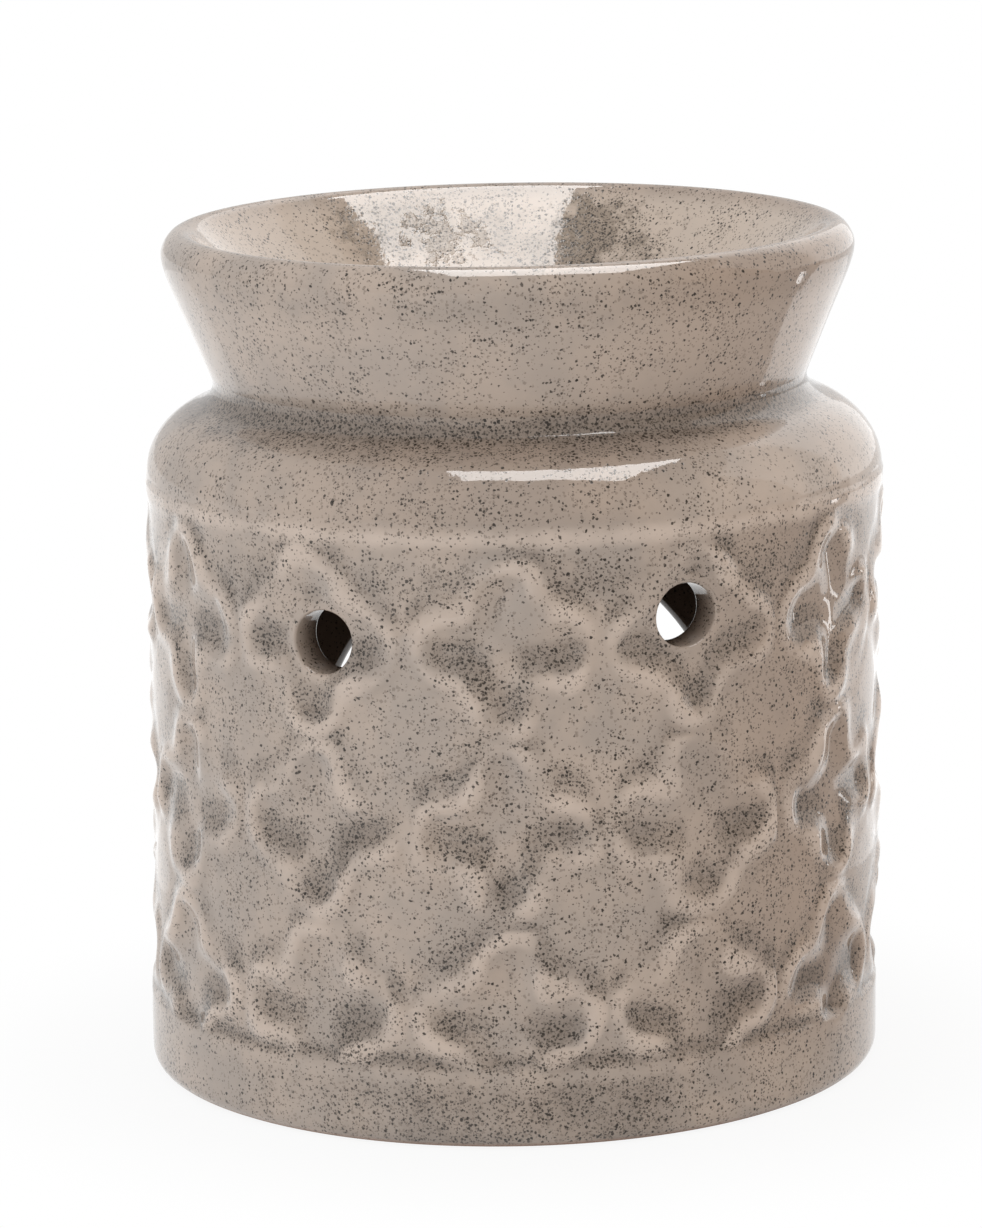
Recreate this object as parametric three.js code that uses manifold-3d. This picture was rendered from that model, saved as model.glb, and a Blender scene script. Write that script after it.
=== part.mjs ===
// A wax melt burner: a one-piece glazed stoneware body with a dish on top, a tealight in its chamber
// and a wax melt in the dish. Millimetres, +Z up, the front with the two vents faces -Y.
import * as THREE from 'three';
import { mergeVertices } from 'three/addons/utils/BufferGeometryUtils.js';
import Module from 'manifold-3d';

const wasm = await Module();
wasm.setup();

// Outside of the body, from the table up.
const wallRadius = 49.2;          // the pads between the motifs
const bandStep = 0.8;             // the plain band above the foot stands out this far
const footInset = 2.4;            // from the band in to the bare ring that stands on the table
const footRingWidth = 6;
const footRecess = 1.5;           // hollow under the floor, inside the foot ring
const footRounding = 2.4;         // height of the curve from the foot to the band
const bandTop = 10.2;
const ledgeRise = 1;              // step from the band to the relief
const shoulderStep = 0.6;         // the shoulder stands out this far
const shoulderHeight = 9.8;
const neckInset = 10.8;           // from the shoulder in to the neck
const neckFillet = 2.2;

// The dish.
const rimHeight = 114.6;
const coneHeight = 23.2;          // from the neck to the top of the rim
const rimFlare = 7.8;             // from the neck out to the rim
const lipThickness = 5.8;
const lipHeight = 4.2;
const lipTurn = 125;              // degrees round the lip, from its outside, at which the bowl starts
const dishDepth = 20.6;
const dishFloorRadius = 18;

// The chamber, its doorway at the back and the vents in front.
const wallThickness = 5.5;
const dishThickness = 6;
const chamberFloor = 6.5;
const chamberShoulder = 10;       // height of the curve under the shoulder
const chamberCurve = 12.7;        // width of that curve
const doorwayRadius = 29;
const doorwayCentre = 33;
const ventRadius = 4;
const ventTurn = 28.5;            // degrees either side of the front
const leftVentRise = 0.2;         // above the centres of the top row of crosses
const rightVentRise = 3.2;        // punched by hand, so a little higher than the left one

// The relief: a trellis of crosses with round lobes, each outlined by a raised ridge.
const columns = 12;
const rows = 3;
const firstRow = 17.1;
const rowPitch = 24.45;
const lobeReachAcross = 11.5;     // from a cross's centre to its ridge
const lobeReachUp = 11;
const lobeHalfWidth = 4.1;
const cornerBlend = 4;            // rounding where two lobes meet
const ridgeRise = 0.9;
const ridgeWidth = 1.7;
const crossDepth = 0.6;
const crossSlope = 3.4;           // from the ridge to the full depth
const ridgeDrop = 1.2;            // from the shoulder down to the bead above the crosses

// The tealight and the wax melt.
const seatGap = 0.3;
const cupRadius = 19;
const cupHeight = 15.5;
const cupWall = 0.4;
const cupBead = 0.7;
const waxHeight = 11.5;
const sustainerRadius = 6.5;
const sustainerThickness = 0.4;
const collarHeight = 3;
const collarWall = 0.4;
const wickRadius = 0.75;
const wickShowing = 7;
const fitGap = 0.25;
const meltRadius = 20;
const meltTaper = 2.5;
const meltHeight = 11;
const meltRounding = 1.6;

const sameReach = 1e-6;           // radii closer than this count as equal
const cutOver = 5;                // how far a cutting tool runs past what it cuts
const roundSides = 64;
const smallSides = 24;

// Places that follow from the sizes above.
const bandRadius = wallRadius + bandStep;
const footRadius = bandRadius - footInset;
const shoulderRadius = wallRadius + shoulderStep;
const neckRadius = shoulderRadius - neckInset;
const rimRadius = neckRadius + rimFlare;
const neckHeight = rimHeight - coneHeight;
const shoulderStart = neckHeight - shoulderHeight;
const topRidge = shoulderStart - ridgeDrop;
const topRow = firstRow + (rows - 1) * rowPitch;
const dishFloor = rimHeight - dishDepth;

function v2(x, y) {
  return new THREE.Vector2(x, y);
}

function bend(from, corner, to, steps) {
  return new THREE.QuadraticBezierCurve(from, corner, to).getPoints(steps);
}

function quarter(centre, radius, height, start, end, steps) {
  const curve = new THREE.EllipseCurve(centre.x, centre.y, radius, height, start, end, end < start);
  return curve.getPoints(steps);
}

function lathe(points, sides) {
  return new THREE.LatheGeometry(points, sides).rotateX(Math.PI / 2);
}

function toSolid(geometry) {
  const bare = new THREE.BufferGeometry();
  bare.setAttribute('position', geometry.getAttribute('position').clone());
  if (geometry.index) bare.setIndex(geometry.index.clone());
  const merged = mergeVertices(bare, 1e-4);
  const vertProperties = Float32Array.from(merged.getAttribute('position').array);
  const triVerts = Uint32Array.from(dropThin(merged.index.array));
  return new wasm.Manifold(new wasm.Mesh({ numProp: 3, vertProperties, triVerts }));
}

// Leaves out the triangles that closed up when the points on the axis were merged.
function dropThin(index) {
  const kept = [];
  for (let i = 0; i < index.length; i += 3) {
    const [a, b, c] = [index[i], index[i + 1], index[i + 2]];
    if (a !== b && b !== c && c !== a) kept.push(a, b, c);
  }
  return kept;
}

function toGeometry(solid) {
  const mesh = solid.getMesh();
  const geometry = new THREE.BufferGeometry();
  geometry.setAttribute('position', new THREE.BufferAttribute(Float32Array.from(mesh.vertProperties), 3));
  geometry.setIndex(Array.from(mesh.triVerts));
  geometry.computeVertexNormals();
  return geometry;
}

function piece(name, geometry, colour, roughness, metalness) {
  const material = new THREE.MeshStandardMaterial({ color: colour, roughness, metalness });
  const mesh = new THREE.Mesh(geometry, material);
  mesh.name = name;
  return mesh;
}

function smoothStep(from, to, x) {
  return THREE.MathUtils.smoothstep(x, from, to);
}

// Distance to a bar with round ends that runs along the first coordinate.
function barDistance(along, across, reach) {
  const past = Math.max(Math.abs(along) - (reach - lobeHalfWidth), 0);
  return Math.hypot(past, across) - lobeHalfWidth;
}

// Distance to the nearest cross's outline, below zero inside the cross.
function crossDistance(across, up) {
  const level = barDistance(across, up, lobeReachAcross);
  const upright = barDistance(up, across, lobeReachUp);
  const mix = Math.max(cornerBlend - Math.abs(level - upright), 0) / cornerBlend;
  return Math.min(level, upright) - mix * mix * cornerBlend / 4;
}

function reliefAt(angle, height) {
  const pitch = 2 * Math.PI / columns;
  const across = (angle - pitch * Math.round(angle / pitch)) * wallRadius;
  const row = THREE.MathUtils.clamp(Math.round((height - firstRow) / rowPitch), 0, rows - 1);
  const distance = crossDistance(across, height - firstRow - row * rowPitch);
  const ridge = ridgeRise * Math.exp(-((distance / ridgeWidth) ** 2));
  return ridge - crossDepth * smoothStep(0, crossSlope, -distance);
}

// Places across one motif where the relief turns: its centre, lobe edges, lobe ends and the pad between.
function motifStops(reach, halfPitch) {
  const between = (lobeHalfWidth + reach) / 2;
  return [0, lobeHalfWidth, between, reach, 2 * halfPitch - reach, 2 * halfPitch - between,
    2 * halfPitch - lobeHalfWidth];
}

function ringAngles() {
  const halfPitch = Math.PI * wallRadius / columns;
  const stops = motifStops(lobeReachAcross, halfPitch);
  const angles = [];
  for (let column = 0; column < columns; column += 1) {
    for (const stop of stops) angles.push((2 * column * halfPitch + stop) / wallRadius);
  }
  return angles;
}

function reliefHeights() {
  const low = bandTop + ledgeRise;
  const stops = motifStops(lobeReachUp, rowPitch / 2);
  const heights = [];
  for (let row = -1; row < rows; row += 1) {
    for (const stop of stops) heights.push(firstRow + row * rowPitch + stop);
  }
  const between = lobeHalfWidth / 2;
  return [low, ...heights.filter((z) => z > low + between && z < topRidge - between)];
}

// The outside as rings of radius and height, from the foot over the lip to the dish floor.
function bodyRings() {
  const rings = [];
  const plain = (points) => points.forEach((p) => rings.push({ radius: p.x, height: p.y, carved: false }));
  plain(bend(v2(footRadius, 0), v2(bandRadius, 0), v2(bandRadius, footRounding), 3));
  plain([v2(bandRadius, bandTop)]);
  for (const height of reliefHeights()) rings.push({ radius: wallRadius, height, carved: true });
  plain([v2(bandRadius, topRidge), v2(shoulderRadius, shoulderStart)]);
  plain(quarter(v2(neckRadius, shoulderStart), neckInset, shoulderHeight, 0.25, Math.PI / 2 - 0.25, 4));
  const lipFoot = rimHeight - lipHeight;
  const coneSlope = rimFlare / (coneHeight - lipHeight);
  const coneFoot = v2(neckRadius + coneSlope * neckFillet, neckHeight + neckFillet);
  plain(bend(v2(neckRadius + neckFillet, neckHeight), v2(neckRadius, neckHeight), coneFoot, 2));
  const lipCentre = v2(rimRadius - lipThickness / 2, lipFoot);
  const lip = quarter(lipCentre, lipThickness / 2, lipHeight, 0, THREE.MathUtils.degToRad(lipTurn), 5);
  plain(lip);
  plain(bowlCurve(lip[lip.length - 1]).slice(1));
  return rings;
}

// From the lip down to the dish floor, going on in the direction in which the lip ends.
function bowlCurve(start) {
  const turn = THREE.MathUtils.degToRad(lipTurn);
  const slope = -lipThickness / 2 * Math.tan(turn) / lipHeight;
  const corner = v2(start.x - slope * (start.y - dishFloor), dishFloor);
  return bend(start, corner, v2(dishFloorRadius, dishFloor), 6);
}

function bodyBlank() {
  const angles = ringAngles();
  const rings = bodyRings();
  const positions = [0, 0, 0];
  for (const ring of rings) {
    for (const angle of angles) {
      const radius = ring.radius + (ring.carved ? reliefAt(angle, ring.height) : 0);
      positions.push(radius * Math.sin(angle), -radius * Math.cos(angle), ring.height);
    }
  }
  positions.push(0, 0, dishFloor);
  const sides = angles.length;
  const point = (ring, side) => 1 + ring * sides + side % sides;
  const reach = (n) => Math.hypot(positions[3 * n], positions[3 * n + 1]);
  const last = positions.length / 3 - 1;
  const index = [];
  for (let side = 0; side < sides; side += 1) {
    index.push(0, point(0, side + 1), point(0, side));
    for (let ring = 0; ring < rings.length - 1; ring += 1) {
      const [a, b] = [point(ring, side), point(ring, side + 1)];
      const [c, d] = [point(ring + 1, side), point(ring + 1, side + 1)];
      const alongRidge = Math.abs(reach(a) - reach(d)) <= Math.abs(reach(b) - reach(c)) + sameReach;
      index.push(...(alongRidge ? [a, b, d, a, d, c] : [a, b, c, b, d, c]));
    }
    index.push(point(rings.length - 1, side), point(rings.length - 1, side + 1), last);
  }
  const geometry = new THREE.BufferGeometry();
  geometry.setAttribute('position', new THREE.Float32BufferAttribute(positions, 3));
  geometry.setIndex(index);
  return toSolid(geometry);
}

function chamberSolid() {
  const radius = wallRadius - wallThickness;
  const ceiling = dishFloor - dishThickness;
  const curveStart = ceiling - chamberShoulder;
  const points = [
    v2(0, chamberFloor),
    v2(radius, chamberFloor),
    ...bend(v2(radius, curveStart), v2(radius, ceiling), v2(radius - chamberCurve, ceiling), 4),
    v2(0, ceiling),
  ];
  return toSolid(lathe(points, roundSides));
}

function doorwaySolid() {
  const outline = new THREE.Shape();
  outline.moveTo(-doorwayRadius, chamberFloor);
  outline.lineTo(doorwayRadius, chamberFloor);
  outline.lineTo(doorwayRadius, doorwayCentre);
  outline.absarc(0, doorwayCentre, doorwayRadius, 0, Math.PI, false);
  const depth = bandRadius + cutOver;
  const geometry = new THREE.ExtrudeGeometry(outline, { depth, bevelEnabled: false, curveSegments: smallSides });
  geometry.rotateX(Math.PI / 2).rotateZ(Math.PI);
  return toSolid(geometry);
}

function ventSolid(turn, height) {
  const length = 2 * (wallThickness + cutOver);
  const geometry = new THREE.CylinderGeometry(ventRadius, ventRadius, length, smallSides);
  geometry.translate(0, -wallRadius, 0).rotateZ(THREE.MathUtils.degToRad(turn)).translate(0, 0, height);
  return toSolid(geometry);
}

function footHollow() {
  const radius = footRadius - footRingWidth;
  const points = [v2(0, -cutOver), v2(radius, -cutOver), v2(radius, footRecess), v2(0, footRecess)];
  return toSolid(lathe(points, roundSides));
}

function burnerBody() {
  const hollow = chamberSolid()
    .add(doorwaySolid())
    .add(ventSolid(-ventTurn, topRow + leftVentRise))
    .add(ventSolid(ventTurn, topRow + rightVentRise))
    .add(footHollow());
  return toGeometry(bodyBlank().subtract(hollow));
}

const cupFloor = chamberFloor + seatGap;
const cupInside = cupFloor + cupWall;
const sustainerFloor = cupInside + seatGap;
const waxFloor = cupInside + seatGap;
const waxTop = waxFloor + waxHeight;
const collarBore = wickRadius + fitGap;
const collarRadius = collarBore + collarWall;

function cupGeometry() {
  const top = cupFloor + cupHeight;
  const inside = cupRadius - cupWall;
  const points = [
    v2(0, cupFloor),
    v2(cupRadius, cupFloor),
    v2(cupRadius, top - 2 * cupBead),
    v2(cupRadius + cupBead, top - cupBead),
    v2(cupRadius, top),
    v2(inside, top),
    v2(inside, cupInside),
    v2(0, cupInside),
  ];
  return lathe(points, roundSides);
}

function candleWaxGeometry() {
  const radius = cupRadius - cupWall - seatGap;
  const plateRadius = sustainerRadius + fitGap;
  const plateTop = sustainerFloor + sustainerThickness + fitGap;
  const bore = collarRadius + fitGap;
  const points = [
    v2(plateRadius, waxFloor),
    v2(radius, waxFloor),
    v2(radius, waxTop),
    v2(bore, waxTop),
    v2(bore, plateTop),
    v2(plateRadius, plateTop),
    v2(plateRadius, waxFloor),
  ];
  return lathe(points, roundSides);
}

function sustainerGeometry() {
  const plateTop = sustainerFloor + sustainerThickness;
  const points = [
    v2(collarBore, sustainerFloor),
    v2(sustainerRadius, sustainerFloor),
    v2(sustainerRadius, plateTop),
    v2(collarRadius, plateTop),
    v2(collarRadius, plateTop + collarHeight),
    v2(collarBore, plateTop + collarHeight),
    v2(collarBore, sustainerFloor),
  ];
  return lathe(points, smallSides);
}

function wickGeometry() {
  const length = waxTop + wickShowing - sustainerFloor;
  const geometry = new THREE.CylinderGeometry(wickRadius, wickRadius, length, smallSides / 2);
  return geometry.rotateX(Math.PI / 2).translate(0, 0, sustainerFloor + length / 2);
}

function meltGeometry() {
  const floor = dishFloor + seatGap;
  const top = floor + meltHeight;
  const foot = meltRadius - meltTaper;
  const points = [
    v2(0, floor),
    ...bend(v2(foot - meltRounding, floor), v2(foot, floor), v2(foot, floor + meltRounding), 3),
    ...bend(v2(meltRadius, top - meltRounding), v2(meltRadius, top), v2(meltRadius - meltRounding, top), 3),
    v2(0, top),
  ];
  return lathe(points, roundSides);
}

const burner = new THREE.Group();
burner.add(piece('burner_body', burnerBody(), 0xa8998d, 0.15, 0));

const tealight = new THREE.Group();
tealight.add(piece('tealight_cup', cupGeometry(), 0xc9cbcd, 0.3, 1));
tealight.add(piece('candle_wax', candleWaxGeometry(), 0xf3efe6, 0.45, 0));
tealight.add(piece('wick_sustainer', sustainerGeometry(), 0xb4b6b8, 0.4, 1));
tealight.add(piece('wick', wickGeometry(), 0xe9e3d6, 0.9, 0));
burner.add(tealight);

burner.add(piece('wax_melt', meltGeometry(), 0xefe2c8, 0.4, 0));

export default burner;
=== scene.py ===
import math

import bmesh
import bpy
import numpy as np
from mathutils import Matrix, Vector


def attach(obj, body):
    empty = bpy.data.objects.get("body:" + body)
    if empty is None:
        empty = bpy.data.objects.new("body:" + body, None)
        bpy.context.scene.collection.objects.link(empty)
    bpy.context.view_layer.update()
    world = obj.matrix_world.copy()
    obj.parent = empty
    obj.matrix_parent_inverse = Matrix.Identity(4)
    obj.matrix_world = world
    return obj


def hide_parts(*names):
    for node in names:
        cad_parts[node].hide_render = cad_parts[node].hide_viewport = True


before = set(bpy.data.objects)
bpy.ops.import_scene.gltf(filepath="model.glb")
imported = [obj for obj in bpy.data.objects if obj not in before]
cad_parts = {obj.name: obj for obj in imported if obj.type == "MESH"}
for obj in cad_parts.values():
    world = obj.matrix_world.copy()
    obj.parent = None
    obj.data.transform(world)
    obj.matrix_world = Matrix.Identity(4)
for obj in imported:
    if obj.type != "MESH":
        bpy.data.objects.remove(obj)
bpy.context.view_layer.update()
mm = 0.001
onAxis = 0.001                                        # where a profile meets the axis, closed afterwards
farAway = 99.0                                        # past the reach of any edge


# Shader wiring: an expression on wires adds its Math nodes.
class Wire:
    def __init__(self, tree, socket=None):
        self.tree = tree
        self.socket = socket

    def node(self, kind, settings, sockets, output=0):
        made = self.tree.nodes.new("ShaderNode" + kind)
        for name, value in settings.items():
            setattr(made, name, value)
        for name, value in sockets.items():
            self.plug(made.inputs[name], value)
        return Wire(self.tree, made.outputs[output] if made.outputs else None)

    def plug(self, socket, value):
        if isinstance(value, Wire):
            self.tree.links.new(value.socket, socket)
        elif socket.type == "RGBA" and len(value) == 3:
            socket.default_value = (*value, 1)
        else:
            socket.default_value = value

    def math(self, operation, first, second):
        return self.node("Math", {"operation": operation}, {0: first, 1: second})

    def __add__(self, other):
        return self.math("ADD", self, other)

    def __radd__(self, other):
        return self.math("ADD", other, self)

    def __sub__(self, other):
        return self.math("SUBTRACT", self, other)

    def __rsub__(self, other):
        return self.math("SUBTRACT", other, self)

    def __mul__(self, other):
        return self.math("MULTIPLY", self, other)

    def __rmul__(self, other):
        return self.math("MULTIPLY", other, self)

    def __truediv__(self, other):
        return self.math("DIVIDE", self, other)

    def __rtruediv__(self, other):
        return self.math("DIVIDE", other, self)

    def other(self, output):                         # another output of the same node
        return Wire(self.tree, self.socket.node.outputs[output])

    def ramp(self, low, high):                       # 0 below low, 1 above high, eased between
        settings = {"interpolation_type": "SMOOTHSTEP"}
        return self.node("MapRange", settings, {"Value": self, "From Min": low, "From Max": high})

    def mix(self, first, second):                    # colours, with this wire as the share of the second
        return self.node("Mix", {"data_type": "RGBA"}, {0: self, 6: first, 7: second}, 2)

    def noise(self, coords, scale, detail=2.0, rough=0.5):
        sockets = {"Vector": coords, "Scale": scale, "Detail": detail, "Roughness": rough}
        return self.node("TexNoise", {}, sockets, "Fac")


def startMaterial(name):
    material = bpy.data.materials.new(name)
    material.use_nodes = True
    tree = material.node_tree
    tree.nodes.clear()
    wires = Wire(tree)
    coords = wires.node("TexCoord", {}, {}, "Object")
    return material, wires, coords


def closeMaterial(wires, sockets):
    surface = wires.node("BsdfPrincipled", {}, sockets)
    wires.node("OutputMaterial", {}, {"Surface": surface})


# Plain helpers for turned shapes, in millimetres
def ease(low, high, value):
    share = np.clip((value - low) / (high - low), 0, 1)
    return share * share * (3 - 2 * share)


def hump(value, width):
    return np.exp(-(value / width) ** 2)


def bend(start, corner, end, steps):
    t = np.linspace(0, 1, steps + 1)[:, None]
    return (1 - t) ** 2 * np.array(start) + 2 * t * (1 - t) * np.array(corner) + t * t * np.array(end)


def arc(centre, across, up, start, end, steps):
    t = np.linspace(start, end, steps + 1)
    return np.stack([centre[0] + across * np.cos(t), centre[1] + up * np.sin(t)], axis=1)


def fill(points, spacing):
    rows = [points[:1]]
    for low, high in zip(points[:-1], points[1:]):
        count = max(1, int(np.ceil(np.hypot(*(high - low)) / spacing)))
        rows.append(low + (high - low) * np.linspace(0, 1, count + 1)[1:, None])
    return np.concatenate(rows)


def turnedFaces(rings, sides, closed):
    faces = []
    for ring in range(rings if closed else rings - 1):
        low, high = ring * sides, (ring + 1) % rings * sides
        for side in range(sides):
            after = (side + 1) % sides
            faces.append((low + side, low + after, high + after, high + side))
    return faces


def makeMesh(name, points, faces):
    mesh = bpy.data.meshes.new(name)
    mesh.from_pydata((np.asarray(points) * mm).tolist(), [], faces)
    mesh.validate()
    work = bmesh.new()
    work.from_mesh(mesh)
    bmesh.ops.remove_doubles(work, verts=work.verts, dist=1e-7)
    bmesh.ops.recalc_face_normals(work, faces=work.faces)
    work.to_mesh(mesh)
    work.free()
    mesh.shade_smooth()
    piece = bpy.data.objects.new(name, mesh)
    bpy.context.scene.collection.objects.link(piece)
    return piece


def turnedPiece(name, profile, sides, closed, shape=None):
    angle = np.linspace(0, 2 * math.pi, sides, endpoint=False)
    radius = np.repeat(profile[:, :1], sides, axis=1)
    height = np.repeat(profile[:, 1:2], sides, axis=1)
    turn = np.repeat(angle[None, :], len(profile), axis=0)
    if shape:
        radius, height = shape(radius, height, turn)
    points = np.stack([radius * np.sin(turn), -radius * np.cos(turn), height], axis=-1).reshape(-1, 3)
    return makeMesh(name, points, turnedFaces(len(profile), sides, closed))


def closeEnds(piece):                                 # fills the pinholes left on the axis
    work = bmesh.new()
    work.from_mesh(piece.data)
    holes = [edge for edge in work.edges if edge.is_boundary]
    bmesh.ops.holes_fill(work, edges=holes, sides=0)
    bmesh.ops.recalc_face_normals(work, faces=work.faces)
    work.to_mesh(piece.data)
    work.free()


# Paints a finished piece and puts it in its node's place.
def settle(piece, material, body, node):
    piece.data.materials.clear()
    piece.data.materials.append(material)
    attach(piece, body)
    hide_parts(node)
    print(node, len(piece.data.polygons), "faces")


def slowWaves(turn, height, seed, around, along):   # smooth unevenness between about -1 and 1
    dice = np.random.default_rng(seed)
    total = np.zeros_like(turn)
    for _ in range(9):
        phase = dice.uniform(0, 2 * math.pi)
        total += np.sin(dice.integers(1, around) * turn + dice.uniform(-along, along) * height + phase) / 3
    return total


# Burner body
ceramic = {
    "wallRadius": 49.2, "bandRadius": 50.0, "footRadius": 47.6, "footRing": 6.0, "footRecess": 1.5,
    "footRounding": 2.4, "bandTop": 10.2, "ledge": 1.2, "shoulderStart": 81.6, "shoulderRadius": 49.8,
    "shoulderTurn": 66.0, "neckHeight": 91.4, "neckRadius": 39.0, "neckFillet": 2.6,
    "rimHeight": 114.6, "rimRadius": 46.8, "lipThickness": 5.8, "lipHeight": 4.2, "lipStart": 24.0,
    "lipTurn": 125.0, "lipFillet": 3.5, "dishFloor": 94.0, "dishFloorRadius": 18.0,
    "wallThickness": 5.5, "dishThickness": 6.0, "chamberFloor": 6.5, "chamberCorner": 2.5,
    "chamberShoulder": 10.0, "chamberCurve": 12.7, "chamberSides": 192,
    "doorwayRadius": 29.0, "doorwayCentre": 33.0, "doorwayBorder": 4.5, "doorwayEdge": 1.4,
    "vents": ((-28.5, 66.2), (28.5, 69.2)), "ventRadius": 4.2, "ventEdge": 0.5, "ventBorder": (0.4, 2.0),
    "wobble": 0.12, "wobbleWaves": (7, 0.16), "baseLean": 0.9, "leanHeight": 45.0,
    "shoulderLean": 0.35, "leanSpread": 14.0, "sides": 576, "sharpAngle": 38, "seed": 4,
}
# Trellis of rounded crosses with raised outlines and sunk insides
relief = {
    "columns": 12, "rows": 3, "firstRow": 17.1, "rowPitch": 24.45, "topRidge": 80.4,
    "reachAcross": 11.5, "reachUp": 11.0, "halfAcross": 4.2, "halfUp": 3.9, "cornerBlend": 4.2,
    "ridgeRise": 0.7, "ridgeWidth": 1.9, "crossDepth": 0.45, "crossSlope": 3.8,
    "centreRise": 0.2, "centreWidth": 3.2, "padRise": 0.3, "padStart": 0.6, "padSlope": 5.5,
    "beadRise": 0.6, "beadWidth": 1.6, "fadeBelow": 1.6, "fadeAbove": 1.0,
    "drift": 0.6, "driftWaves": (30, 0.5), "unevenness": 0.4, "fullWaves": (40, 0.6), "seed": 11,
}


# Distance from a cross's outline, below 0 inside it.
def crossDistance(across, up):
    level = np.hypot(np.maximum(np.abs(across) - relief["reachAcross"] + relief["halfAcross"], 0), up)
    upright = np.hypot(np.maximum(np.abs(up) - relief["reachUp"] + relief["halfUp"], 0), across)
    level, upright = level - relief["halfAcross"], upright - relief["halfUp"]
    blend = relief["cornerBlend"]
    share = np.maximum(blend - np.abs(level - upright), 0) / blend
    return np.minimum(level, upright) - share * share * blend / 4


# Place in the nearest cross, from its centre.
def motifPlace(turn, height):
    pitch = 2 * math.pi / relief["columns"]
    across = ((turn + pitch / 2) % pitch - pitch / 2) * ceramic["wallRadius"]
    row = np.clip(np.round((height - relief["firstRow"]) / relief["rowPitch"]), 0, relief["rows"] - 1)
    return across, height - relief["firstRow"] - row * relief["rowPitch"]


def ventNearness(turn, height):                       # 1 at a vent's edge, 0 a little away from it
    near = np.zeros_like(turn)
    start, end = (ceramic["ventRadius"] + border for border in ceramic["ventBorder"])
    for ventTurn, ventHeight in ceramic["vents"]:
        across = np.sin(turn - math.radians(ventTurn)) * ceramic["wallRadius"]
        gap = np.where(np.cos(turn) > 0, np.hypot(across, height - ventHeight), farAway)
        near = np.maximum(near, 1 - ease(start, end, gap))
    return near


# Distance from the doorway's outline, below 0 in the opening.
def doorwayGap(across, height):
    over = np.maximum(height - ceramic["doorwayCentre"], 0)
    beside = np.maximum(np.abs(across) - ceramic["doorwayRadius"], 0)
    under = ceramic["chamberFloor"] - height
    return np.where(under > 0, np.hypot(beside, under), np.hypot(across, over) - ceramic["doorwayRadius"])


def doorwayNearness(turn, height):                    # 1 beside the doorway, 0 past its plain border
    gap = doorwayGap(np.sin(turn) * ceramic["wallRadius"], height)
    near = 1 - ease(ceramic["doorwayEdge"] + 0.4, ceramic["doorwayBorder"], gap)
    return np.where(np.cos(turn) < 0, near, 0)


def carving(turn, height):
    seed = relief["seed"]
    drift = relief["drift"]
    across, up = motifPlace(turn, height)
    across = across + drift * slowWaves(turn, height, seed, *relief["driftWaves"])
    up = up + drift * slowWaves(turn, height, seed + 1, *relief["driftWaves"])
    gap = crossDistance(across, up)
    fullness = 1 + relief["unevenness"] * slowWaves(turn, height, seed + 2, *relief["fullWaves"])
    raised = relief["ridgeRise"] * fullness * hump(gap, relief["ridgeWidth"])
    raised = raised - relief["crossDepth"] * ease(0.0, relief["crossSlope"], -gap)
    raised = raised + relief["centreRise"] * hump(np.hypot(across, up), relief["centreWidth"])
    raised = raised + relief["padRise"] * ease(relief["padStart"], relief["padSlope"], gap)
    raised = raised * (1 - ventNearness(turn, height))
    border = doorwayNearness(turn, height)
    return raised + border * (ceramic["bandRadius"] - ceramic["wallRadius"] - raised)


def carvedShare(height):
    low = ease(ceramic["bandTop"], ceramic["bandTop"] + ceramic["ledge"], height)
    ridge = relief["topRidge"]
    return low * (1 - ease(ridge - relief["fadeBelow"], ridge + relief["fadeAbove"], height))


def handWobble(turn, height):                         # left by casting and glazing
    return ceramic["wobble"] * slowWaves(turn, height, ceramic["seed"], *ceramic["wobbleWaves"])


# The base sits a little to the left, and the shoulder a little to the right.
def handLean(turn, height):
    base = ceramic["baseLean"] * (1 - ease(0, ceramic["leanHeight"], height))
    shoulder = ceramic["shoulderLean"] * hump(height - ceramic["shoulderStart"], ceramic["leanSpread"])
    return (shoulder - base) * np.sin(turn)


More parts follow.
